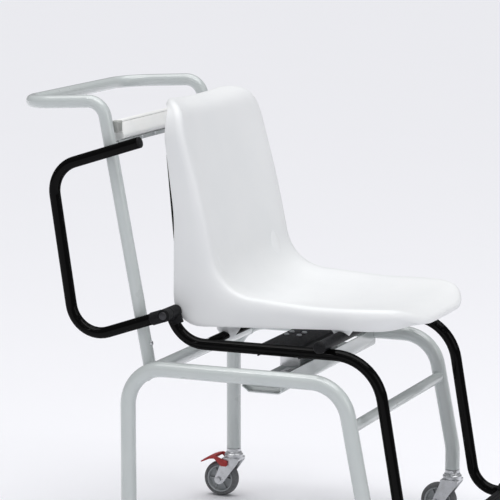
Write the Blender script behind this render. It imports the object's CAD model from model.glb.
"""Looks of the chair scale: its tubes, moulded seat, display, hinges and castors, and their finishes.

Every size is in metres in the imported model's own frame. Each x below is measured forward from the rear legs'
axis, whose place is read from the frame, and each z is a height above the floor.
"""

import math

import bmesh
import bpy
from mathutils import Matrix, Vector


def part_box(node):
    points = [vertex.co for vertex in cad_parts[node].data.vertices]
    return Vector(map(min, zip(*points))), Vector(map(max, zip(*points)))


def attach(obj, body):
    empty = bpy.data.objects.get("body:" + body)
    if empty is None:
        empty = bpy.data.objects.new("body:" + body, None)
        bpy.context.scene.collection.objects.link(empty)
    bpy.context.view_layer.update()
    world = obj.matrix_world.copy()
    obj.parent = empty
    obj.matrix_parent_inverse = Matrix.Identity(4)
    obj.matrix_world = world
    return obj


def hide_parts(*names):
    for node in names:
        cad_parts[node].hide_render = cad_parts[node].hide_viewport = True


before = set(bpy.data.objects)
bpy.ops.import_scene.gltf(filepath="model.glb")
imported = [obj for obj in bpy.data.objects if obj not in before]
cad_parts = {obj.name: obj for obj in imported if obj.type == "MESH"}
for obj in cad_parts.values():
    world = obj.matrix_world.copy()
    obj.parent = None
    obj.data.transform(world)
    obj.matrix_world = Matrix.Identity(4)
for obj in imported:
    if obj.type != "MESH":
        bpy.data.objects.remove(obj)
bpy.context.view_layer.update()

SIDES = (("right", -1), ("left", 1))
UP = Vector((0, 0, 1))
ACROSS = Vector((0, 1, 0))
FORWARD = Vector((1, 0, 0))

# Base frame
BASE_R = 0.015
BASE_Y = 0.26
BASE_Z = 0.38
BASE_BEND = 0.075
FRONT_LEG_TOP_X = 0.4406
FRONT_LEG_RAKE = 0.197
KNEE_Z = 0.15
FRONT_CASTOR_X = FRONT_LEG_TOP_X + FRONT_LEG_RAKE * (BASE_Z - KNEE_Z)
KNEE_BEND = 0.1
LEG_END_Z = 0.106
WALL = 0.002
REAR_CROSS = (0.035, 0.368)
REAR_CROSS_R = 0.014
FRONT_BAR_Z = BASE_Z - 0.083
FRONT_BAR = (FRONT_LEG_TOP_X + FRONT_LEG_RAKE * (BASE_Z - FRONT_BAR_Z), FRONT_BAR_Z)
FRONT_BAR_R = 0.011

# Weighed frame
LOAD_Z = 0.4263
LOAD_Y = 0.2175
LOAD_R = 0.011
LOAD_LEG_TOP_X = 0.4913
LOAD_LEG_RAKE = 0.171
LOAD_BEND = 0.096
LOAD_REAR_X = 0.142
LOAD_REAR_BEND = 0.07
LOAD_REAR_TURN = 72
FOOT_Z = 0.08
LOAD_KNEE_X = LOAD_LEG_TOP_X + LOAD_LEG_RAKE * (LOAD_Z - FOOT_Z)
FOOT_BEND = 0.055
FOOT_END_X = 0.715
STOP_TUBE_X = 0.397
STOP_TUBE_HALF = 0.262
STOP_TUBE_Z = LOAD_Z + 2 * LOAD_R + 0.0003
REAR_SEAT_TUBE = (0.158, 0.434)
REAR_SEAT_TUBE_R = 0.0085
CARRIER_X = (0.25, 0.336)
CARRIER_TOP = 0.4335
CARRIER_DROP = 0.022
SHEET = 0.0025
CAP_GAP = 0.0003

# Armrests
HINGE = (0.0785, 0.4855)
ARM_Y = 0.257
ARM_R = 0.011
ARM_BEND = 0.06
ARM_LOWER = (-0.1107, 0.4206)
ARM_UPPER = (-0.1613, 0.7547)
ARM_TIP = (0.025, 0.8142)
ARM_LEAN = {"right": 0.0, "left": 3.5}
KNUCKLE_R = 0.0125

# Push handle
HANDLE_Y = 0.231
HANDLE_R = 0.0125
HANDLE_Z = 0.887
HANDLE_CORNER_X = -0.0635
HANDLE_REAR_X = -0.237
HANDLE_REAR_Z = 0.8775
HANDLE_FOOT_Z = REAR_CROSS[1] + 0.006
HANDLE_BENDS = (0.036, 0.06)

# Seat shell
SEAT_HALF = 0.2045
SHELL = 0.0045
ROLL = 0.013
END_ROLL = 0.009
BACK_EDGE = (0.038, 0.88)
BACK_TOP = (0.064, 0.866)
BACK_FOOT = (0.145, 0.493)
SEAT_NOSE = (0.52, 0.501)
NOSE_EDGE = (0.544, 0.487)
FACE_BENDS = (0.035, 0.11, 0.05)
TOP_CORNER = 0.085
NOSE_CORNER = 0.115
WALL_REAR = ((0.043, 0.905), (0.0735, 0.67), (0.0715, 0.455), (0.445, 0.4735), (0.545, 0.448))
WALL_BENDS = (0.4, 0.055, 0.3)
BOSS_Y = 0.137
BOSS_STEM = 0.023

# Display
DISPLAY_CENTRE = (-0.0574, 0.8225)
DISPLAY_TILT = 60
DISPLAY_HALF = 0.2
DISPLAY_TALL = 0.04
DISPLAY_BACK = 0.031
DISPLAY_FRONT = 0.0075
DISPLAY_WALL = 0.0025
WINDOW_UP = (-0.013, 0.013)
WINDOW_Y = (-0.045, 0.105)
KEY_HALF = (0.006, 0.011)
BRACKET_X = (-0.0375, -0.0345)
BRACKET_PLATE_X = -0.0435
BRACKET_Y = 0.2187
BRACKET_LOW = 0.803
LUG_X = (-0.0525, -0.036)
LUG_Z = (0.826, 0.848)
KEY_YS = {"key_power": -0.145, "key_hold": -0.115, "key_tare": -0.085}

# Castors and foot plates
WHEEL_R = 0.0375
TYRE_WIDTH = 0.025
TRAIL = 0.028
FORK_HALF = 0.0195
AXLE_R = 0.004
PLATE_X = (0.6, 0.708)
PLATE_IN_Y = 0.022
PLATE_THICK = 0.01

REAR_LEG_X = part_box("side_frame_right")[0].x + BASE_R


def at(x, y, z):
    return Vector((x + REAR_LEG_X, y, z))


def at_pair(xz, y=0.0):
    return at(xz[0], y, xz[1])


def side_view(corners, x=0.0, y=0.0):
    """Points of an upright plane, from pairs that are measured forward from x and up from the floor."""
    return [at(x + dx, y, z) for dx, z in corners]


def box_corners(xs, zs):
    """The four corners of a rectangle as pairs, in order round it."""
    return [(xs[0], zs[0]), (xs[1], zs[0]), (xs[1], zs[1]), (xs[0], zs[1])]


# Materials


class Finish:
    """A Principled material whose bump, roughness and colour come from procedural textures."""

    def __init__(self, name, colour, roughness, metallic=0.0, **sockets):
        self.material = bpy.data.materials.new(name)
        self.material.use_nodes = True
        self.tree = self.material.node_tree
        self.shader = self.tree.nodes["Principled BSDF"]
        self.colour = (*colour, 1.0)
        values = {"Base_Color": self.colour, "Roughness": roughness, "Metallic": metallic, **sockets}
        self.set_inputs(self.shader, values)
        self.place = self.tree.nodes.new("ShaderNodeTexCoord").outputs["Object"]

    def set_inputs(self, node, values):
        for socket, value in values.items():
            node.inputs[socket.replace("_", " ")].default_value = value

    def add(self, kind, source, socket, result, **values):
        """A node with a source linked to one of its inputs and constants on others, as its output."""
        node = self.tree.nodes.new("ShaderNode" + kind)
        self.set_inputs(node, values)
        self.tree.links.new(source, node.inputs[socket])
        return node.outputs[result]

    def noise(self, size, detail=3.0, stretch=(1, 1, 1)):
        """Noise with features of about the given size in metres, stretched for a grain that runs one way."""
        place = self.add("Mapping", self.place, "Vector", "Vector", Scale=stretch)
        return self.add("TexNoise", place, "Vector", "Fac", Scale=1.0 / size, Detail=detail)

    def cells(self, size):
        return self.add("TexVoronoi", self.place, "Vector", "Distance", Scale=1.0 / size)

    def spread(self, value, low, high, middle):
        """The value's middle range mapped onto low to high."""
        ends = {"From_Min": 0.5 - middle, "From_Max": 0.5 + middle, "To_Min": low, "To_Max": high}
        return self.add("MapRange", value, "Value", "Result", **ends)

    def rough(self, size, low, high, **grain):
        """Roughness that wanders between low and high."""
        value = self.spread(self.noise(size, **grain), low, high, 0.2)
        self.tree.links.new(value, self.shader.inputs["Roughness"])
        return self

    def tint(self, size, other, detail=2.0, cells=False):
        """A second colour mixed in where noise, or a cell pattern, is high."""
        texture = self.cells(size) if cells else self.noise(size, detail)
        mixed = self.tree.nodes.new("ShaderNodeMix")
        mixed.data_type = "RGBA"
        self.set_inputs(mixed, {"A": self.colour, "B": (*other, 1.0)})
        self.tree.links.new(self.spread(texture, 0.0, 1.0, 0.15), mixed.inputs["Factor"])
        self.tree.links.new(mixed.outputs["Result"], self.shader.inputs["Base Color"])
        return self

    def bump(self, size, depth, strength, cells=False, **grain):
        """Relief of the given depth in metres, from noise or from a cell pattern."""
        texture = self.cells(size) if cells else self.noise(size, **grain)
        relief = self.add("Bump", texture, "Height", "Normal", Strength=strength, Distance=depth)
        self.tree.links.new(relief, self.shader.inputs["Normal"])
        return self


def make_finishes():
    brushed = {"detail": 2.0, "stretch": (0.04, 0.04, 1.0)}
    made = {
        "grey": Finish("grey_powder_coat", (0.575, 0.612, 0.606), 0.3, Coat_Weight=1.0, Coat_Roughness=0.14)
        .tint(0.06, (0.555, 0.597, 0.591)).rough(0.06, 0.27, 0.33),
        "strap": Finish("grey_strap_paint", (0.33, 0.35, 0.35), 0.34, Coat_Weight=0.3, Coat_Roughness=0.2)
        .tint(0.04, (0.3, 0.32, 0.32)).rough(0.008, 0.28, 0.4),
        "black": Finish("black_gloss_paint", (0.002, 0.002, 0.002), 0.34, Specular_IOR_Level=0.0,
                        Coat_Weight=0.18, Coat_Roughness=0.03)
        .rough(0.01, 0.3, 0.38).bump(0.008, 0.00002, 0.15, detail=1.0),
        "pin": Finish("blackened_steel_pin", (0.06, 0.06, 0.064), 0.36, 1.0).rough(0.003, 0.3, 0.44),
        "satin": Finish("black_satin_paint", (0.003, 0.003, 0.004), 0.42, Specular_IOR_Level=0.12)
        .rough(0.004, 0.36, 0.52).bump(0.0008, 0.00012, 0.6, detail=2.0),
        "textured": Finish("black_textured_plastic", (0.004, 0.004, 0.005), 0.56, Specular_IOR_Level=0.16)
        .tint(0.003, (0.01, 0.01, 0.011), 3.0).rough(0.0015, 0.46, 0.68).bump(0.0011, 0.00015, 0.5, True),
        "seat": Finish("white_moulded_shell", (0.845, 0.855, 0.86), 0.42,
                       Coat_Weight=0.12, Coat_Roughness=0.3)
        .tint(0.11, (0.825, 0.838, 0.845)).rough(0.005, 0.36, 0.5).bump(0.0007, 0.00005, 0.5),
        "housing": Finish("white_housing", (0.9, 0.9, 0.88), 0.34)
        .tint(0.05, (0.87, 0.875, 0.86)).rough(0.003, 0.34, 0.48).bump(0.0009, 0.00006, 0.5, True),
        "machined": Finish("machined_aluminium", (0.8, 0.8, 0.81), 0.34, 1.0)
        .rough(0.0006, 0.24, 0.44, **brushed).bump(0.0006, 0.00006, 0.4, **brushed),
        "zinc": Finish("zinc_plated_steel", (0.66, 0.67, 0.69), 0.34, 1.0)
        .tint(0.01, (0.58, 0.59, 0.6), 4.0).rough(0.004, 0.26, 0.44).bump(0.0012, 0.00005, 0.5),
        "tyre": Finish("grey_rubber_tyre", (0.115, 0.118, 0.122), 0.7)
        .tint(0.006, (0.15, 0.153, 0.156), 4.0).rough(0.002, 0.62, 0.8).bump(0.0009, 0.00015, 0.6),
        "hub": Finish("grey_moulded_hub", (0.42, 0.44, 0.45), 0.48)
        .tint(0.012, (0.38, 0.4, 0.41)).rough(0.002, 0.42, 0.58).bump(0.001, 0.00008, 0.5, True),
        "pedal": Finish("red_moulded_pedal", (0.42, 0.03, 0.028), 0.46)
        .tint(0.01, (0.36, 0.024, 0.024)).rough(0.002, 0.4, 0.55).bump(0.001, 0.0001, 0.6, True),
        "rubber": Finish("grey_ribbed_rubber", (0.46, 0.47, 0.45), 0.66)
        .tint(0.004, (0.4, 0.41, 0.39), 3.0).rough(0.002, 0.58, 0.76).bump(0.0012, 0.0002, 0.8, True),
        "window": Finish("display_glass", (0.03, 0.036, 0.038), 0.06, Coat_Weight=1.0, Coat_Roughness=0.02)
        .rough(0.02, 0.05, 0.09),
        "cells": Finish("display_cells", (0.4, 0.45, 0.4), 0.3)
        .tint(0.03, (0.37, 0.42, 0.37), 1.0).bump(0.001, 0.00002, 0.3, detail=1.0),
        "board": Finish("circuit_board", (0.02, 0.13, 0.055), 0.42)
        .tint(0.004, (0.012, 0.09, 0.04), cells=True).bump(0.002, 0.0001, 0.5),
        "key": Finish("soft_key", (0.16, 0.27, 0.42), 0.52)
        .tint(0.008, (0.14, 0.24, 0.38)).rough(0.001, 0.46, 0.6).bump(0.0006, 0.00005, 0.5, True),
    }
    return {name: finish.material for name, finish in made.items()}


# Shapes


def placed(name, data):
    """A new object of the scene that holds a mesh, a light or a camera."""
    obj = bpy.data.objects.new(name, data)
    bpy.context.scene.collection.objects.link(obj)
    return obj


def rounded(corners, bends, steps=14):
    """A path through corner points, with an arc of the given radius at each inner corner."""
    path = [corners[0]]
    for before, corner, after, radius in zip(corners, corners[1:], corners[2:], bends):
        u = (before - corner).normalized()
        v = (after - corner).normalized()
        half = u.angle(v) / 2
        centre = corner + (u + v).normalized() * (radius / math.sin(half))
        first = corner + u * (radius / math.tan(half)) - centre
        last = corner + v * (radius / math.tan(half)) - centre
        for i in range(steps):
            path.append(centre + first.slerp(last, i / (steps - 1)) * radius)
    path.append(corners[-1])
    return path


def even_places(path, count):
    """Places an equal distance apart on a path, each as a segment's number and the part of it passed."""
    marks = [0.0]
    for a, b in zip(path, path[1:]):
        marks.append(marks[-1] + (b - a).length)
    j = 0
    for i in range(count):
        want = marks[-1] * i / (count - 1)
        while j < len(marks) - 2 and marks[j + 1] < want:
            j += 1
        yield j, min((want - marks[j]) / max(marks[j + 1] - marks[j], 1e-9), 1.0)


def spread_points(path, count):
    """The same path with count points an equal distance apart."""
    return [path[j].lerp(path[j + 1], part) for j, part in even_places(path, count)]


def square_to(axis):
    """Two unit vectors square to an axis and to each other."""
    side = axis.orthogonal().normalized()
    return side, axis.cross(side)


def circle(centre, side, up, radius, count):
    """Points round a centre, from side towards up."""
    turns = [2 * math.pi * k / count for k in range(count)]
    return [centre + (side * math.cos(t) + up * math.sin(t)) * radius for t in turns]


def add_ring(bm, points):
    return [bm.verts.new(point) for point in points]


def ring_frames(path, closed=False):
    """A side vector and an up vector across the path at each of its points."""
    count = len(path)
    tangents = []
    for i in range(count):
        if closed:
            tangents.append((path[(i + 1) % count] - path[i - 1]).normalized())
        else:
            ahead = path[min(i + 1, count - 1)] - path[i]
            behind = path[i] - path[max(i - 1, 0)]
            tangents.append((ahead.normalized() + behind.normalized()).normalized())
    side = tangents[0].orthogonal().normalized()
    frames = []
    for tangent in tangents:
        side = (side - tangent * side.dot(tangent)).normalized()
        frames.append((side, tangent.cross(side)))
    return frames


def bridge(bm, a, b):
    """Quads between two rings of vertices, or triangles where one of them is a single vertex."""
    count = max(len(a), len(b))
    for k in range(count):
        n = (k + 1) % count
        corners = [a[k % len(a)], a[n % len(a)], b[n % len(b)], b[k % len(b)]]
        bm.faces.new(list(dict.fromkeys(corners)))


def add_skin(bm, sections):
    """Faces between each section's points and the next one's, and the sections as rings of vertices."""
    rings = [add_ring(bm, points) for points in sections]
    for a, b in zip(rings, rings[1:]):
        bridge(bm, a, b)
    return rings


def as_mesh(bm):
    mesh = bpy.data.meshes.new("mesh")
    bm.to_mesh(mesh)
    bm.free()
    return mesh


def smoothed(mesh, sharp=40):
    """The mesh shaded smooth but for edges sharper than an angle in degrees."""
    mesh.shade_smooth()
    mesh.set_sharp_from_angle(angle=math.radians(sharp))
    return mesh


def to_mesh(bm, sharp=35):
    bmesh.ops.recalc_face_normals(bm, faces=bm.faces)
    return smoothed(as_mesh(bm), sharp)


def tube(path, radius, wall=None, sides=48):
    """A pipe swept along a path, open at both ends, or a solid rod where no wall is given."""
    bm = bmesh.new()
    stations = list(zip(path, ring_frames(path)))
    skins = []
    for r in ([radius] if wall is None else [radius, radius - wall]):
        skins.append(add_skin(bm, [circle(point, *axes, r, sides) for point, axes in stations]))
    for end in (0, -1):
        if wall is None:
            bm.faces.new(skins[0][end])
        else:
            bridge(bm, skins[0][end], skins[1][end])
    return to_mesh(bm)


def bead(loop, radius, sides=10, ripple=0.18, ripples=26):
    """A weld bead along a closed loop, with the even scallops of a hand-laid seam."""
    bm = bmesh.new()
    sections = []
    for i, (point, axes) in enumerate(zip(loop, ring_frames(loop, closed=True))):
        swell = 1 + ripple * math.sin(2 * math.pi * ripples * i / len(loop))
        sections.append(circle(point, *axes, radius * swell, sides))
    rings = add_skin(bm, sections)
    start = rings[0]
    shift = min(range(sides), key=lambda k: (rings[-1][0].co - start[k].co).length)
    bridge(bm, rings[-1], start[shift:] + start[:shift])
    return to_mesh(bm, 60)


def turned(profile, centre, axis, sides=48):
    """A closed outline of (along, radius) points turned about an axis. A radius of 0 closes on the axis."""
    axis = Vector(axis).normalized()
    bm = bmesh.new()
    sections = []
    for along, radius in profile:
        middle = centre + axis * along
        sections.append(circle(middle, *square_to(axis), radius, sides) if radius else [middle])
    rings = add_skin(bm, sections)
    if profile[0][1] != 0:
        bridge(bm, rings[-1], rings[0])
    return to_mesh(bm)


def eased(profile, radius, steps=4):
    """A turned outline with its inner corners rounded. Ends on the axis stay as they are."""
    points = [Vector((a, 0, r)) for a, r in profile]
    closed = profile[0][1] != 0
    count = len(points)
    result = []
    for i, corner in enumerate(points):
        if not closed and i in (0, count - 1):
            result.append(corner)
            continue
        before, after = points[i - 1], points[(i + 1) % count]
        u, v = before - corner, after - corner
        if u.angle(v) > math.radians(160):
            result.append(corner)
            continue
        reach = min(radius, u.length * 0.45, v.length * 0.45)
        a, b = corner + u.normalized() * reach, corner + v.normalized() * reach
        for k in range(steps + 1):
            t = k / steps
            result.append(a.lerp(corner, t).lerp(corner.lerp(b, t), t))
    return [(p.x, p.z) for p in result]


def prism(outline, low, high, axis=ACROSS):
    """A closed outline of points, swept from low to high along an axis that crosses its plane."""
    bm = bmesh.new()
    flat = [p - axis * p.dot(axis) for p in outline]
    a = add_ring(bm, [p + axis * low for p in flat])
    b = add_ring(bm, [p + axis * high for p in flat])
    bm.faces.new(a)
    bm.faces.new(b)
    bridge(bm, a, b)
    return to_mesh(bm, 30)


def arc_outline(corners, radii, steps=6):
    """A closed outline with each corner turned into an arc of its own radius, 0 for a sharp one."""
    result = []
    count = len(corners)
    for i, corner in enumerate(corners):
        if radii[i] == 0:
            result.append(corner)
            continue
        arc = rounded([corners[i - 1], corner, corners[(i + 1) % count]], [radii[i]], steps)
        result.extend(arc[1:-1])
    return result


def softened(mesh, width, segments=3, angle=50):
    """The mesh with its sharp edges rounded."""
    return applied(mesh, lambda obj: add_bevel(obj, width, segments, angle))


def add_bevel(obj, width, segments, angle):
    step = obj.modifiers.new("edges", "BEVEL")
    step.width = width
    step.segments = segments
    step.limit_method = "ANGLE"
    step.angle_limit = math.radians(angle)


def applied(mesh, add_modifiers):
    """The mesh as its modifiers leave it."""
    holder = placed("holder", mesh)
    add_modifiers(holder)
    bpy.context.view_layer.update()
    result = bpy.data.meshes.new_from_object(holder.evaluated_get(bpy.context.evaluated_depsgraph_get()))
    bpy.data.objects.remove(holder)
    return smoothed(result)


def carved(mesh, cutters):
    """The mesh with the cutters' shapes taken out of it."""
    helpers = [placed("cutter", cutter) for cutter in cutters]

    def add_cuts(obj):
        for helper in helpers:
            step = obj.modifiers.new("cut", "BOOLEAN")
            step.operation = "DIFFERENCE"
            step.solver = "EXACT"
            step.object = helper

    result = applied(mesh, add_cuts)
    for helper in helpers:
        bpy.data.objects.remove(helper)
    return result


def merged(meshes):
    """Several meshes as one."""
    bm = bmesh.new()
    for mesh in meshes:
        bm.from_mesh(mesh)
    return smoothed(as_mesh(bm))


def show(name, mesh, finish, body, slot, replaces=()):
    """Adds a piece that rides on a body, belongs to a slot and stands for the CAD nodes it replaces."""
    mesh.name = name
    mesh.materials.clear()
    mesh.materials.append(FINISHES[finish])
    piece = placed(name, mesh)
    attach(piece, body)
    if replaces:
        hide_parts(*replaces)


def show_node(prefix, node, mesh, finish, body="frame"):
    """Adds the piece that stands for one CAD node."""
    show(prefix + node, mesh, finish, body, node, [node])


def show_detail(name, meshes, finish, slot="overload_stop"):
    """Adds small parts of the frame, as one piece, that no CAD node stands for."""
    show(name, merged(meshes), finish, "frame", slot)


def dome(low, rise, flat, bulge, turns):
    """The points of a turned outline's rounded shoulder, at turns in degrees from the rim."""
    turns = [math.radians(turn) for turn in turns]
    return [(low + rise * math.sin(turn), flat + bulge * math.cos(turn)) for turn in turns]


def pan_screw(centre, axis, radius=0.0045, height=0.0026):
    """A pan-head screw with a cross recess, seated at centre with its head along axis."""
    axis = Vector(axis).normalized()
    profile = [(-0.002, 0), (-0.002, radius * 0.5), (0, radius * 0.5), (0, radius)]
    profile += dome(height * 0.35, height * 0.65, radius * 0.55, radius * 0.45, range(0, 91, 15))
    head = turned([*profile, (height, 0)], centre, axis, 24)
    half, thick = radius * 0.6, radius * 0.13
    base = centre + axis * (height * 0.45)
    start = base.dot(axis)
    cutters = []
    for direction in square_to(axis):
        other = axis.cross(direction)
        outline = [base + direction * a + other * b for a, b in box_corners((half, -half), (thick, -thick))]
        cutters.append(prism(outline, start, start + height, axis))
    return carved(head, cutters)


def hex_head(centre, axis, across=0.01, height=0.0045):
    """A hexagon head with its corners chamfered."""
    axis = Vector(axis).normalized()
    outline = circle(centre, *square_to(axis), across / math.sqrt(3), 6)
    start = centre.dot(axis)
    return softened(prism(outline, start, start + height, axis), 0.0005, 2, 40)


# Paths shared with the solids


def side_frame_path(y):
    corners = [(0, LEG_END_Z), (0, BASE_Z), (FRONT_LEG_TOP_X, BASE_Z)]
    corners += [(FRONT_CASTOR_X, KNEE_Z), (FRONT_CASTOR_X, LEG_END_Z)]
    return rounded(side_view(corners, y=y), [BASE_BEND, BASE_BEND, KNEE_BEND])


def weighed_path(y):
    turn = math.radians(LOAD_REAR_TURN)
    lead = LOAD_REAR_BEND * math.tan(turn / 2)
    bend = at(LOAD_REAR_X - lead, y, LOAD_Z)
    top = bend + Vector((-math.cos(turn), 0, math.sin(turn))) * (lead + 0.01)
    front = side_view([(LOAD_LEG_TOP_X, LOAD_Z), (LOAD_KNEE_X, FOOT_Z), (FOOT_END_X, FOOT_Z)], y=y)
    return rounded([top, bend, *front], [LOAD_REAR_BEND, LOAD_BEND, FOOT_BEND])


def upright_x(z):
    lean = (HANDLE_CORNER_X - REAR_CROSS[0]) / (HANDLE_Z - REAR_CROSS[1])
    return REAR_CROSS[0] + lean * (z - REAR_CROSS[1])


def handle_path():
    foot = (upright_x(HANDLE_FOOT_Z), HANDLE_FOOT_Z)
    run = [foot, (HANDLE_CORNER_X, HANDLE_Z), (HANDLE_REAR_X, HANDLE_REAR_Z)]
    corners = side_view(run, y=-HANDLE_Y) + side_view(run[::-1], y=HANDLE_Y)
    return rounded(corners, HANDLE_BENDS + HANDLE_BENDS[::-1])


def arm_path(y, lean):
    axis = at_pair(HINGE, y)
    turn = Matrix.Rotation(math.radians(lean), 3, "Y")
    corners = [axis]
    for x, z in (ARM_LOWER, ARM_UPPER, ARM_TIP):
        corners.append(axis + turn @ (at(x, y, z) - axis))
    return rounded(corners, [ARM_BEND, ARM_BEND])


def saddle(centre, direction, radius, other, along, other_radius, count=96):
    """The loop where a tube's end meets the side of another tube.

    The first tube runs from centre along direction to the other tube, whose axis passes through other.
    """
    cross = direction.cross(along).normalized()
    lift = cross.cross(direction).normalized()
    heading = direction - along * direction.dot(along)
    a = heading.dot(heading)
    loop = []
    for start in circle(centre, cross, lift, radius, count):
        away = start - other
        flat = away - along * away.dot(along)
        b = flat.dot(heading)
        c = flat.dot(flat) - other_radius ** 2
        root = max(b * b - a * c, 0.0)
        loop.append(start + direction * ((-b - math.sqrt(root)) / a))
    return loop


# The grey base frame


def base_frame():
    for side, s in SIDES:
        show_node("tube_", "side_frame_" + side, tube(side_frame_path(s * BASE_Y), BASE_R, WALL), "grey")

    reach = BASE_Y - 0.006
    for name, place, radius in (
        ("rear_cross_tube", REAR_CROSS, REAR_CROSS_R),
        ("front_cross_bar", FRONT_BAR, FRONT_BAR_R),
    ):
        show_node("tube_", name, tube([at_pair(place, y) for y in (-reach, reach)], radius, WALL), "grey")
    show_node("pressed_", "cell_channel", cell_channel(), "grey")
    show_detail("base_welds", base_welds(), "grey", "rear_cross_tube")


def cell_channel():
    """A folded sheet channel whose ends are notched round the side tubes."""
    floor = BASE_Z - 0.03
    top, front = BASE_Z + 0.006, 0.3176
    corners = [
        (0.2357, floor + 0.011), (0.25, floor), (front, floor), (front, top), (front - SHEET, top),
        (front - SHEET, floor + SHEET), (0.251, floor + SHEET), (0.2372, floor + 0.0132),
    ]
    half = BASE_Y - 0.003
    channel = prism(arc_outline(side_view(corners), [0, 0.006, 0.0085, 0, 0, 0.006, 0.0035, 0]), -half, half)
    notches = [tube(side_frame_path(s * BASE_Y), BASE_R + 0.0002) for _, s in SIDES]
    return softened(carved(channel, notches), 0.0006, 2)


def base_welds():
    """Beads where the cross tubes meet the side frames and where the handle stands on the rear one."""
    rake = Vector((FRONT_LEG_RAKE, 0, -1)).normalized()
    bend_tangent = Vector((0.846, 0, 0.533)).normalized()
    lean = Vector((REAR_CROSS[0] - HANDLE_CORNER_X, 0, REAR_CROSS[1] - HANDLE_Z)).normalized()
    rear, front = at_pair(REAR_CROSS), at_pair(FRONT_BAR)
    beads = []
    for _, s in SIDES:
        out = ACROSS * s
        foot = at_pair(REAR_CROSS, s * HANDLE_Y)
        in_bend = at_pair(REAR_CROSS, s * BASE_Y)
        beads.append(bead(saddle(rear, out, REAR_CROSS_R, in_bend, bend_tangent, BASE_R), 0.0018))
        beads.append(bead(saddle(front, out, FRONT_BAR_R, front + out * BASE_Y, rake, BASE_R), 0.0016))
        beads.append(bead(saddle(foot - lean * 0.1, lean, HANDLE_R, foot, ACROSS, REAR_CROSS_R), 0.0018))
    return beads


def push_handle():
    show_node("tube_", "push_handle", tube(handle_path(), HANDLE_R, WALL), "grey")
    z = BASE_Z + 0.043
    x = upright_x(z) + HANDLE_R - 0.0008
    screws = [pan_screw(at(x, s * HANDLE_Y, z), (1, 0, 0.19), 0.0048, 0.0032) for _, s in SIDES]
    show_detail("upright_screws", screws, "zinc")


# The load cell and what it stands on


def load_cell():
    for name in ("load_cell", "cell_spacer_top", "cell_spacer_low", "overload_stop"):
        low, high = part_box(name)
        corners = [Vector((x, 0, z)) for x, z in box_corners((low.x, high.x), (low.z, high.z))]
        block = prism(corners, low.y, high.y)
        if name == "load_cell":
            block = carved(block, cell_bores(low, high))
        show_node("block_", name, softened(block, 0.0007, 2), "machined")

    low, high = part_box("load_cell")
    middle = (low.x + high.x) / 2
    xs = (middle - 0.013, middle + 0.013)
    screws = []
    for y in (low.y + 0.014, low.y + 0.042):
        screws += [pan_screw(Vector((x, y, CARRIER_TOP)), UP, 0.0052, 0.0034) for x in xs]
    show_detail("carrier_screws", screws, "zinc")

    bolts = []
    channel_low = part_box("cell_channel")[0].z
    for y in (high.y - 0.014, high.y - 0.042):
        bolts += [hex_head(Vector((x, y, channel_low)), -UP) for x in xs]
    bolts.append(hex_head(Vector((middle, low.y + 0.018, channel_low)), -UP, 0.013, 0.006))
    show_detail("channel_bolts", bolts, "zinc")


def cell_bores(low, high):
    """The two round bores that let the cell bend."""
    start, length, z = low.x - 0.01, high.x - low.x + 0.02, (low.z + high.z) / 2
    profile = [(0, 0), (0, 0.0125), (length, 0.0125), (length, 0)]
    return [turned(profile, Vector((start, y, z)), FORWARD) for y in (-0.026, -0.004)]


# The black weighed frame


def weighed_frame():
    for side, s in SIDES:
        show_node("tube_", "weighed_tube_" + side, tube(weighed_path(s * LOAD_Y), LOAD_R, WALL), "black")
        cap = turned(eased(foot_cap_profile(), 0.002), at(FOOT_END_X, s * LOAD_Y, FOOT_Z), FORWARD)
        show_node("moulded_", "foot_tube_cap_" + side, cap, "textured")
        cap = turned(stop_cap_profile(), at(STOP_TUBE_X, s * STOP_TUBE_HALF, STOP_TUBE_Z), (0, s, 0))
        show_node("moulded_", "stop_cap_" + side, cap, "textured")

    path = [at(STOP_TUBE_X, y, STOP_TUBE_Z) for y in (-STOP_TUBE_HALF, STOP_TUBE_HALF)]
    stop = tube(path, LOAD_R, WALL)
    show("tube_arm_stop", stop, "satin", "frame", "arm_stop_tube", ["arm_stop_tube"])
    path = [at_pair(REAR_SEAT_TUBE, y) for y in (-LOAD_Y, LOAD_Y)]
    rear = softened(tube(path, REAR_SEAT_TUBE_R), 0.001, 2)
    show("tube_rear_seat", rear, "black", "frame", "rear_seat_tube", ["rear_seat_tube"])
    show("folded_carrier", carrier(), "satin", "frame", "carrier_channel", ["carrier_channel"])


def plug(radius, depth):
    """The start of a tube cap's outline: the part that stands in the tube's end."""
    inside = radius - WALL - 0.0004
    return [(-depth, 0), (-depth, inside), (CAP_GAP, inside)]


def foot_cap_profile():
    flange = LOAD_R + 0.0022
    return plug(LOAD_R, 0.014) + [(CAP_GAP, flange), (0.007, flange), (0.011, flange - 0.006), (0.011, 0)]


def stop_cap_profile():
    """A plug with a collar and a domed end."""
    rim = LOAD_R + 0.001
    profile = plug(LOAD_R, 0.012) + [(CAP_GAP, rim - 0.0004), (0.0008, rim), (0.005, rim)]
    return profile + dome(0.005, 0.006, 0, rim, range(10, 90, 10)) + [(0.011, 0)]


def arm_cap_profile():
    profile = plug(ARM_R, 0.012) + [(CAP_GAP, ARM_R - 0.0003), (0.0006, ARM_R)]
    turns = [90 * i / 7 for i in range(1, 7)]
    return profile + dome(0.0015, 0.003, ARM_R * 0.62, ARM_R * 0.38, turns) + [(0.0045, 0)]


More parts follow.
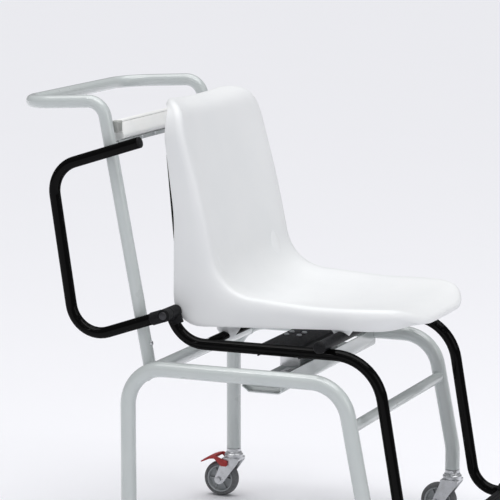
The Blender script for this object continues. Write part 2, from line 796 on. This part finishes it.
def carrier():
    """The folded channel that hangs between the weighed tubes over the load cell."""
    top, low = CARRIER_TOP, CARRIER_TOP - CARRIER_DROP
    x0, x1 = CARRIER_X
    corners = [
        (x0, low), (x0, top), (x1, top), (x1, low), (x1 - SHEET, low),
        (x1 - SHEET, top - SHEET), (x0 + SHEET, top - SHEET), (x0 + SHEET, low),
    ]
    outer, inner = 0.0045, 0.002
    outline = arc_outline(side_view(corners), [0, outer, outer, 0, 0, inner, inner, 0])
    half = LOAD_Y - 0.004
    return softened(prism(outline, -half, half), 0.0005, 2)


# Armrests and their hinges


def armrests():
    for side, s in SIDES:
        body = "arm_" + side
        axis = at_pair(HINGE, s * ARM_Y)
        path = arm_path(s * ARM_Y, ARM_LEAN[side])
        show_node("tube_", "armrest_" + side, tube(path, ARM_R, WALL), "black", body)
        cap = turned(arm_cap_profile(), path[-1], (path[-1] - path[-2]).normalized())
        show_node("moulded_", "arm_cap_" + side, cap, "textured", body)
        knuckle = hinge_barrel(axis, s, -0.0115, 0.0115, (path[1] - axis).normalized(), 0.03)
        show_node("moulded_", "arm_knuckle_" + side, knuckle, "textured", body)
        pin = [
            (-0.045, 0), (-0.045, 0.0035), (-0.0445, 0.004), (0.0118, 0.004), (0.0118, 0.0072),
            (0.0126, 0.0078), (0.0138, 0.007), (0.0145, 0.0048), (0.0147, 0),
        ]
        show_node("turned_", "arm_pin_" + side, turned(pin, axis, (0, s, 0)), "pin", body)

        rise = weighed_path(s * LOAD_Y)
        reach = ARM_Y - KNUCKLE_R + 0.0005 - LOAD_Y
        along = (rise[1] - rise[0]).normalized()
        block = hinge_barrel(at_pair(HINGE, s * LOAD_Y), s, -0.0105, reach, along, 0.024)
        show_node("moulded_", "hinge_block_" + side, block, "textured")


def hinge_barrel(centre, s, start, end, along, sleeve_length):
    """A cross barrel bored for the pin, with the sleeve that grips a tube's end."""
    bore = 0.0043
    barrel = [
        (start, bore), (end, bore), (end, KNUCKLE_R - 0.0012), (end - 0.0012, KNUCKLE_R),
        (start + 0.0012, KNUCKLE_R), (start, KNUCKLE_R - 0.0012),
    ]
    sleeve_r = KNUCKLE_R + 0.0002
    sleeve = [(0.006, 0), (0.006, sleeve_r - 0.001), (0.007, sleeve_r)]
    ribs = 5
    pitch = (sleeve_length - 0.01) / ribs
    for i in range(ribs):
        foot = 0.008 + pitch * i
        groove = (foot + pitch * 0.3, sleeve_r - 0.0006)
        sleeve += [(foot, sleeve_r), groove, (foot + pitch * 0.6, sleeve_r)]
    sleeve += [(sleeve_length - 0.001, sleeve_r), (sleeve_length, sleeve_r - 0.001), (sleeve_length, 0)]
    return merged([turned(barrel, centre, (0, s, 0)), turned(sleeve, centre, along)])


# The moulded seat


def smooth_step(value, low, high):
    t = min(max((value - low) / (high - low), 0.0), 1.0)
    return t * t * (3 - 2 * t)


class Shell:
    """The shell's upper face: a line down its middle, dished across, with a rounded-rectangle edge."""

    def __init__(self):
        corners = side_view((BACK_EDGE, BACK_TOP, BACK_FOOT, SEAT_NOSE, NOSE_EDGE))
        self.line = spread_points(rounded(corners, FACE_BENDS, 30), 240)
        self.length = sum((b - a).length for a, b in zip(self.line, self.line[1:]))
        self.wall = spread_points(rounded(side_view(WALL_REAR), WALL_BENDS, 24), 240)

    def on_line(self, line, part):
        place = min(max(part, 0.0), 0.99999) * (len(line) - 1)
        i = int(place)
        return line[i].lerp(line[i + 1], place - i)

    def dish(self, part):
        return 0.016 + 0.008 * smooth_step(part, 0.02, 0.3) - 0.012 * smooth_step(part, 0.55, 0.8)

    def lift(self, across):
        """The dish's rise across the face, level again where the rim begins."""
        bend = 0.88
        slope = 2.5 * bend ** 1.5
        if across < bend:
            rise = across ** 2.5
        else:
            beyond = across - bend
            rise = bend ** 2.5 + slope * beyond - slope * beyond ** 2 / (2 * (1 - bend))
        return rise / (bend ** 2.5 + slope * (1 - bend) / 2)

    def point(self, a, b):
        """A point of the face and the normal there, from the length along it and the distance across it."""
        part = a / self.length
        step = 0.012
        along = self.on_line(self.line, part + step) - self.on_line(self.line, part - step)
        normal = Vector((-along.z, 0, along.x)).normalized()
        lift = self.dish(part) * self.lift(abs(b) / (SEAT_HALF - ROLL))
        return self.on_line(self.line, part) + Vector((0, b, 0)) + normal * lift, normal

    def outward(self, normal, out):
        return Vector((normal.z, 0, -normal.x)) * out.x + Vector((0, out.y, 0))

    def roll_depth(self, part, side):
        """How deep the rim turns: side is 1 along a side wall and 0 along the top and the nose."""
        at_side = 0.014 + 0.024 * smooth_step(part, 0.15, 0.5) - 0.018 * smooth_step(part, 0.53, 0.7)
        return at_side * side + END_ROLL * (1 - side)

    def height(self, x, y):
        """Height of the face over a place."""
        low, high = 0.0, self.length
        for _ in range(24):
            middle = (low + high) / 2
            if self.point(middle, y)[0].x < x:
                low = middle
            else:
                high = middle
        return self.point(low, y)[0].z

    def side(self, start, end, heading, count):
        """One side of the edge, from the middle of one corner's arc to the middle of the next."""
        path, outs = [], []
        for (a, b, radius), first in ((start, heading + 45), (end, heading)):
            for k in range(13):
                turn = math.radians(first - 45 * k / 12)
                outs.append(Vector((math.cos(turn), math.sin(turn), 0)))
                path.append(Vector((a, b, 0)) + outs[-1] * radius)
        return [
            (path[j].lerp(path[j + 1], part), outs[j].lerp(outs[j + 1], part).normalized())
            for j, part in even_places(path, count + 1)
        ]

    def edges(self, along, across):
        half = SEAT_HALF - ROLL
        top, nose = TOP_CORNER, NOSE_CORNER
        near, far = (top, half - top, top), (self.length - nose, half - nose, nose)
        near_minus, far_minus = (near[0], -near[1], top), (far[0], -far[1], nose)
        return (
            self.side(near, far, 90, along),
            self.side(far, far_minus, 0, across),
            self.side(far_minus, near_minus, -90, along),
            self.side(near_minus, near, 180, across),
        )


def seat_shell(along=64, across=30):
    shell = Shell()
    plus, nose, minus, top = shell.edges(along, across)
    bm = bmesh.new()
    grid = []
    for i in range(along + 1):
        v = i / along
        row = []
        for j in range(across + 1):
            u = j / across
            left, right = minus[along - i][0], plus[i][0]
            first, last = top[j][0], nose[across - j][0]
            corners = (
                top[0][0] * (1 - u) * (1 - v) + top[across][0] * u * (1 - v)
                + nose[across][0] * (1 - u) * v + nose[0][0] * u * v
            )
            flat = left * (1 - u) + right * u + first * (1 - v) + last * v - corners
            row.append(bm.verts.new(shell.point(flat.x, flat.y)[0]))
        grid.append(row)
    for i in range(along):
        for j in range(across):
            bm.faces.new((grid[i][j], grid[i + 1][j], grid[i + 1][j + 1], grid[i][j + 1]))

    rim = [grid[i][across] for i in range(along)] + [grid[along][j] for j in range(across, 0, -1)]
    rim += [grid[i][0] for i in range(along, 0, -1)] + [grid[0][j] for j in range(across)]
    edge = plus[:-1] + nose[:-1] + minus[:-1] + top[:-1]
    last = rim
    for turn in (15, 30, 45, 60, 75, 90):
        angle = math.radians(turn)
        ring = []
        for flat, out in edge:
            point, normal = shell.point(flat.x, flat.y)
            depth = shell.roll_depth(flat.x / shell.length, out.y * out.y) * (1 - math.cos(angle))
            turned_out = shell.outward(normal, out) * ROLL * math.sin(angle)
            ring.append(bm.verts.new(point + turned_out - normal * depth))
        bridge(bm, last, ring)
        last = ring
    turned_in = [vert.co.copy() for vert in last]
    feet = [wall_foot(shell, flat, out) for flat, out in edge]
    for part in (0.2, 0.4, 0.6, 0.8, 1.0):
        ring = add_ring(bm, [start.lerp(foot, part) for start, foot in zip(turned_in, feet)])
        bridge(bm, last, ring)
        last = ring
    bmesh.ops.recalc_face_normals(bm, faces=bm.faces)
    bm.normal_update()
    if max(bm.faces, key=lambda face: face.calc_center_median().x).normal.x < 0:
        bmesh.ops.reverse_faces(bm, faces=bm.faces)
    mesh = as_mesh(bm)

    def thicken(obj):
        step = obj.modifiers.new("thick", "SOLIDIFY")
        step.thickness = SHELL
        step.offset = -1
        add_bevel(obj, 0.0012, 2, 60)

    show("moulded_seat", applied(mesh, thicken), "seat", "frame", "seat_shell", ["seat_shell"])
    show_detail("seat_bosses", seat_bosses(shell), "seat", "seat_shell")


def wall_foot(shell, flat, out):
    """Where the side wall, or the short lip at the top and the nose, ends."""
    part = flat.x / shell.length
    point, normal = shell.point(flat.x, flat.y)
    wall = shell.on_line(shell.wall, part) + Vector((0, flat.y + out.y * ROLL, 0))
    near_nose = smooth_step(part, 0.6, 0.9)
    reach, depth = ROLL - 0.02 * near_nose, 0.02 + 0.006 * near_nose
    lip = point + shell.outward(normal, out) * reach - normal * depth
    return lip.lerp(wall, out.y * out.y)


def seat_bosses(shell):
    """The four flared feet that the shell stands on, each with a stem that runs up into the shell's skin."""
    flare = ((0.0098, 0.0), (0.0105, 0.0007), (0.0165, 0.0095), (0.0205, 0.015), (BOSS_STEM, 0.019))
    made = []
    for x, low in ((STOP_TUBE_X - 0.003, 0.443), (REAR_SEAT_TUBE[0], 0.4255)):
        for _, s in SIDES:
            foot = at(x, s * BOSS_Y, low)
            sections = [[foot]]
            sections += [circle(foot + UP * up, FORWARD, ACROSS, radius, 48) for radius, up in flare]
            for points in (circle(foot, FORWARD, ACROSS, BOSS_STEM + 0.0008, 48), [foot]):
                sections.append([Vector((p.x, p.y, shell.height(p.x, p.y) - 0.6 * SHELL)) for p in points])
            bm = bmesh.new()
            add_skin(bm, sections)
            made.append(to_mesh(bm))
    return made


# The display


def display_point(up, out, y=0.0):
    """A point of the display: up its sloping face, and out from the middle of its thickness."""
    tilt = math.radians(DISPLAY_TILT)
    rise = Vector((math.sin(tilt), 0, math.cos(tilt)))
    face = Vector((-math.cos(tilt), 0, math.sin(tilt)))
    return at(DISPLAY_CENTRE[0], y, DISPLAY_CENTRE[1]) + rise * up + face * out


def display_outline(ups, outs, radii):
    return arc_outline([display_point(*pair) for pair in box_corners(ups, outs)], radii)


def slab(ups, outs, ys, width=0.0, radii=(0, 0, 0, 0), angle=50):
    """A block in the display's slope, its long corners rounded by radii and its other edges by width."""
    block = prism(display_outline(ups, outs, radii), *ys)
    return softened(block, width, 3, angle) if width else block


def display():
    """A slim housing, its bezel with the window and keys on top, and the cover on its underside."""
    tall = DISPLAY_TALL / 2
    joint = (DISPLAY_BACK - DISPLAY_FRONT) / 2
    under, top = joint - DISPLAY_BACK, joint + DISPLAY_FRONT
    wide = (-DISPLAY_HALF, DISPLAY_HALF)
    wall = DISPLAY_WALL
    inside = (wide[0] + wall, wide[1] - wall)
    full, hollow_up = (-tall, tall), (-tall + wall, tall - wall)

    housing = slab(full, (under, joint), wide, 0.003, (0.007, 0.008, 0.0006, 0.0006), 60)
    hollow = slab(hollow_up, (under + wall, joint + 0.01), inside)
    show_node("moulded_", "display_back", carved(housing, [hollow]), "housing")

    low = joint + 0.0006
    bezel = slab(full, (low, top), wide, 0.0026, (0.0005, 0.0005, 0.0045, 0.0045), 60)
    through = (low - 0.001, top + 0.01)
    cutters = [slab(hollow_up, (joint - 0.01, top - wall), inside)]
    cutters.append(slab(WINDOW_UP, through, WINDOW_Y))
    up, across = KEY_HALF
    for y in KEY_YS.values():
        reach = across + 0.0005
        cutters.append(slab((-up - 0.0005, up + 0.0005), through, (y - reach, y + reach)))
    show_node("moulded_", "display_bezel", carved(bezel, cutters), "housing")

    edge = 0.0004
    glass_up = (WINDOW_UP[0] + edge, WINDOW_UP[1] - edge)
    glass_y = (WINDOW_Y[0] + edge, WINDOW_Y[1] - edge)
    glass = slab(glass_up, (top - 0.0036, top - 0.0006), glass_y, 0.0004)
    show("display_pane", glass, "window", "frame", "display_window", ["display_window"])
    cells = slab((-0.0095, 0.0095), (top - 0.0007, top - 0.0004), (-0.03, 0.09), 0.0001)
    show("display_cells", cells, "cells", "frame", "display_window")
    board = slab((-0.015, 0.015), (joint - 0.003, joint - 0.0014), (-0.17, 0.17))
    show("plain_circuit_board", board, "board", "frame", "display_board", ["display_board"])
    for name, y in KEY_YS.items():
        key = slab((-up, up), (top - 0.0045, top + 0.0014), (y - across, y + across), 0.0014)
        show_node("moulded_", name, key, "key", name)

    ridges = [slab((-0.015, 0.002), (under - 0.0024, under - 0.0003), (-0.155, -0.055), 0.0008)]
    for i in range(6):
        y = -0.146 + 0.0045 * i
        ridges.append(slab((-0.012, -0.001), (under - 0.003, under - 0.002), (y, y + 0.0018), 0.0004))
    show_node("moulded_", "battery_cover", merged(ridges), "housing", "cover")
    display_fixings(under)


def below_display(x, drop):
    """A point in side view at x, the given drop below the housing's underside."""
    tilt = math.radians(DISPLAY_TILT)
    out = -(DISPLAY_BACK + DISPLAY_FRONT) / 2 - drop
    return display_point((x - DISPLAY_CENTRE[0] + math.cos(tilt) * out) / math.sin(tilt), out)


def display_fixings(under):
    """The folded bracket under the housing, its screws, and the ribbed clamps at the uprights."""
    rear, front = BRACKET_X
    corners = [
        at(front, 0, BRACKET_LOW), below_display(front, 0.0003), below_display(BRACKET_PLATE_X, 0.0003),
        below_display(BRACKET_PLATE_X, SHEET), below_display(rear, SHEET), at(rear, 0, BRACKET_LOW),
    ]
    outline = arc_outline(corners, [0.0004, 0.003, 0.0004, 0.0004, 0.001, 0.0004])
    show_node("folded_", "display_bracket", prism(outline, -BRACKET_Y, BRACKET_Y), "strap")

    screws = []
    for y in (-0.115, -0.055, 0.055, 0.115):
        screws.append(pan_screw(at(front, y, BRACKET_LOW + 0.0048), FORWARD, 0.003, 0.0018))
    down = display_point(0, -1) - display_point(0, 0)
    for y in (-0.191, -0.03, 0.191):
        screws.append(pan_screw(display_point(-0.01, under, y), down, 0.003, 0.0016))
    show_detail("display_screws", screws, "zinc")

    clamps = []
    for _, s in SIDES:
        ys = sorted((s * (DISPLAY_HALF + 0.0004), s * (HANDLE_Y - HANDLE_R + 0.002)))
        outline = arc_outline(side_view(box_corners(LUG_X, LUG_Z)), [0.002] * 4)
        clamps.append(softened(prism(outline, *ys), 0.0008, 2))
        root, crest = LUG_X[1] - 0.001, LUG_X[1] + 0.0012
        low, high = LUG_Z
        rib = [(root, low + 0.002), (crest, low + 0.003), (crest, high - 0.003), (root, high - 0.002)]
        for i in range(4):
            y = ys[0] + 0.0026 + 0.0042 * i
            clamps.append(softened(prism(side_view(rib), y, y + 0.002), 0.0004, 2))
    show_detail("display_clamps", clamps, "rubber", "display_bracket")


# Foot plates


def foot_plates():
    bore, length = LOAD_R + 0.001, PLATE_X[1] - PLATE_X[0]
    sleeve, thick = bore + 0.0045, PLATE_THICK / 2
    profile = eased([(0, bore), (length, bore), (length, sleeve), (0, sleeve)], 0.0012)
    foot, crest = FOOT_Z + thick - 0.0005, FOOT_Z + thick + 0.001
    ridge = [(-0.002, foot), (0.002, foot), (0.001, crest), (-0.001, crest)]
    ridges = 11
    for side, s in SIDES:
        y_in, y_out = s * PLATE_IN_Y, s * (LOAD_Y - 0.012)
        corners = [at(x, y, 0) for x, y in box_corners(PLATE_X, (y_in, y_out))]
        outline = arc_outline(corners, [0.016, 0.016, 0, 0])
        parts = [softened(prism(outline, FOOT_Z - thick, FOOT_Z + thick, UP), 0.0015, 3)]
        parts.append(turned(profile, at(PLATE_X[0], s * LOAD_Y, FOOT_Z), FORWARD))
        ys = sorted((y_in + s * 0.012, y_out - s * 0.006))
        for i in range(ridges):
            x = PLATE_X[0] + 0.01 + (length - 0.02) * i / (ridges - 1)
            parts.append(softened(prism(side_view(ridge, x), *ys), 0.0004, 2))
        show_node("moulded_", "foot_plate_" + side, merged(parts), "textured", "foot_" + side)


# Castors


def fork_mesh(x, y):
    """A pressed fork under a ball race, on a stem that stands in the leg."""
    inner = FORK_HALF - 0.003
    corners = [
        (0.0175, 0.0855), (0.017, 0.078), (-TRAIL + 0.011, WHEEL_R - 0.006), (-TRAIL, WHEEL_R - 0.0125),
        (-TRAIL - 0.011, WHEEL_R - 0.003), (-0.02, 0.078), (-0.02, 0.0855),
    ]
    outline = arc_outline(side_view(corners, x), [0.002, 0.006, 0.008, 0.009, 0.008, 0.006, 0.002])
    cheeks = prism(outline, y - FORK_HALF, y + FORK_HALF)
    slot = side_view(box_corners((-0.08, 0.05), (-0.01, 0.08)), x)
    cheeks = softened(carved(cheeks, [prism(slot, y - inner, y + inner)]), 0.001, 3)
    top, base = LEG_END_Z + 0.03, LEG_END_Z - 0.001
    race = eased([
        (0.084, 0), (0.084, 0.0185), (0.089, 0.0195), (0.0925, 0.0195), (0.0945, 0.017), (0.096, 0.017),
        (0.0985, 0.015), (base, 0.015), (base, 0.011), (top, 0.011), (top, 0),
    ], 0.0008, 3)
    return merged([cheeks, turned(race, at(x, y, 0), UP, 40)])


def tyre_mesh(axle):
    half, rim = TYRE_WIDTH / 2, WHEEL_R - 0.0085
    profile = [(-half, rim), (half, rim), (half, rim + 0.003)]
    for k in range(13):
        turn = math.radians(10 + 160 * k / 12)
        profile.append((half * math.cos(turn), WHEEL_R - 0.0055 + 0.0055 * math.sin(turn)))
    profile.append((-half, rim + 0.003))
    return turned(profile, axle, ACROSS, 72)


def wheel_mesh(axle):
    """A hub and a thin disc with ribs on both faces, inside a rim."""
    half, rim = TYRE_WIDTH / 2, WHEEL_R - 0.0088
    bore = AXLE_R + 0.0004
    lip, inner = half - 0.001, rim - 0.0028
    profile = eased([
        (-0.014, bore), (0.014, bore), (0.014, 0.0085), (0.003, 0.01), (0.0025, rim - 0.0045),
        (lip, inner), (lip, rim), (-lip, rim), (-lip, inner),
        (-0.0025, rim - 0.0045), (-0.003, 0.01), (-0.014, 0.0085),
    ], 0.0008, 3)
    parts = [turned(profile, axle, ACROSS, 72)]
    for k in range(6):
        turn = math.radians(60 * k)
        out = Vector((math.cos(turn), 0, math.sin(turn)))
        across = Vector((-math.sin(turn), 0, math.cos(turn)))
        corners = ((0.0085, -0.0095), (rim - 0.0035, -0.006), (rim - 0.0035, 0.006), (0.0085, 0.0095))
        outline = [axle + out * reach + ACROSS * height for reach, height in corners]
        place = axle.dot(across)
        parts.append(softened(prism(outline, place - 0.0013, place + 0.0013, across), 0.0004, 2))
    return merged(parts)


def axle_mesh(axle):
    reach = FORK_HALF + 0.0004
    rod = [
        (-reach - 0.001, 0), (-reach - 0.001, AXLE_R), (reach + 0.0045, AXLE_R),
        (reach + 0.005, AXLE_R - 0.0005), (reach + 0.005, 0),
    ]
    heads = [hex_head(axle + ACROSS * s * reach, ACROSS * s, 0.0115, 0.0034) for s in (-1, 1)]
    return merged([turned(rod, axle, ACROSS, 32), *heads])


def pedal_mesh(x, y):
    """A lever behind the crown, held by two eyes outside the cheeks."""
    pivot = at(x - 0.012, y, 0.074)
    corners = [
        (0.006, -0.006), (0.006, 0.006), (-0.002, 0.0075), (-0.022, 0.015), (-0.034, 0.0125),
        (-0.054, 0.002), (-0.056, -0.002), (-0.034, 0.0078), (-0.0235, 0.009), (-0.008, -0.0058),
    ]
    bends = [0.004, 0.004, 0.004, 0.006, 0.008, 0.0015, 0.0015, 0.006, 0.004, 0.004]
    half, inside = FORK_HALF + 0.005, FORK_HALF + 0.0008
    outline = arc_outline([pivot + Vector((dx, 0, dz)) for dx, dz in corners], bends)
    lever = prism(outline, y - half, y + half)
    slot = prism(side_view(box_corners((-0.036, 0.03), (0.05, 0.1)), x), y - inside, y + inside)
    parts = [softened(carved(lever, [slot]), 0.001, 2)]
    slope = Vector((-0.02, 0, -0.0105)).normalized()
    lift = Vector((slope.z, 0, -slope.x))
    grip = ((0, -0.0006), (0.002, -0.0006), (0.0015, 0.0009), (0.0005, 0.0009))
    for i in range(4):
        base = pivot + Vector((-0.037, 0, 0.0107)) + slope * 0.0042 * i
        corners = [base + slope * along + lift * up for along, up in grip]
        parts.append(prism(corners, y - half + 0.003, y + half - 0.003))
    return merged(parts)


def castors():
    for end, x in (("rear", 0.0), ("front", FRONT_CASTOR_X)):
        for side, s in SIDES:
            place, y = f"{end}_{side}", s * BASE_Y
            axle = at(x - TRAIL, y, WHEEL_R)
            wheel = "wheel_" + place
            show_node("pressed_", "fork_" + place, fork_mesh(x, y), "zinc", "castor_" + place)
            show_node("rubber_", "tyre_" + place, tyre_mesh(axle), "tyre", wheel)
            show_node("moulded_", wheel, wheel_mesh(axle), "hub", wheel)
            show_node("bolt_", "axle_" + place, axle_mesh(axle), "zinc", wheel)
            if end == "rear":
                show_node("moulded_", "brake_pedal_" + place, pedal_mesh(x, y), "pedal", "brake_" + place)


# Floor, light and camera


def stage():
    reach = 60.0
    floor_mesh = bpy.data.meshes.new("floor")
    corners = [(x, y, 0) for x, y in box_corners((-reach, reach), (-reach, reach))]
    floor_mesh.from_pydata(corners, [], [(0, 1, 2, 3)])
    finish = Finish("pale_floor", (0.9, 0.9, 0.93), 0.9).rough(0.4, 0.86, 0.94)
    floor_mesh.materials.append(finish.material)
    placed("floor", floor_mesh)


def area_light(name, place, target, size, power):
    data = bpy.data.lights.new(name, "AREA")
    data.shape = "RECTANGLE"
    data.size, data.size_y = size
    data.energy = power
    lamp = placed(name, data)
    lamp.location = place
    lamp.rotation_euler = (Vector(target) - Vector(place)).to_track_quat("-Z", "Y").to_euler()


def lights():
    world = bpy.data.worlds.new("studio")
    world.use_nodes = True
    sky = world.node_tree.nodes["Background"]
    sky.inputs["Color"].default_value = (0.95, 0.96, 1.0, 1.0)
    sky.inputs["Strength"].default_value = 0.27
    bpy.context.scene.world = world
    ceiling = bpy.data.lights.new("ceiling", "SUN")
    ceiling.energy = 2.15
    ceiling.angle = math.radians(70)
    placed("ceiling", ceiling)
    area_light("softbox", (0.2, -0.9, 3.4), (0, 0, 0.6), (3.6, 0.14), 15)
    area_light("key", (3.4, -1.0, 2.2), (0, 0, 0.6), (1.6, 2.0), 18)
    area_light("level_strip", (0.6, -3.4, 3.0), (0, 0, 0.5), (7.0, 0.02), 7)
    area_light("upright_strip", (-1.4, -4.4, 2.6), (0, 0, 0.6), (0.03, 3.0), 4)
    bpy.context.scene.view_settings.view_transform = "Standard"


def camera():
    data = bpy.data.cameras.new("camera")
    data.sensor_width = 36.0
    data.lens = 193.6
    data.clip_end = 200.0
    eye = placed("camera", data)
    eye.location = at(2.174, -4.844, 1.434)
    eye.rotation_euler = (math.radians(90 - 9.27), 0, math.radians(22.72))
    bpy.context.scene.camera = eye


FINISHES = make_finishes()
base_frame()
push_handle()
load_cell()
weighed_frame()
armrests()
seat_shell()
display()
foot_plates()
castors()
stage()
lights()
camera()
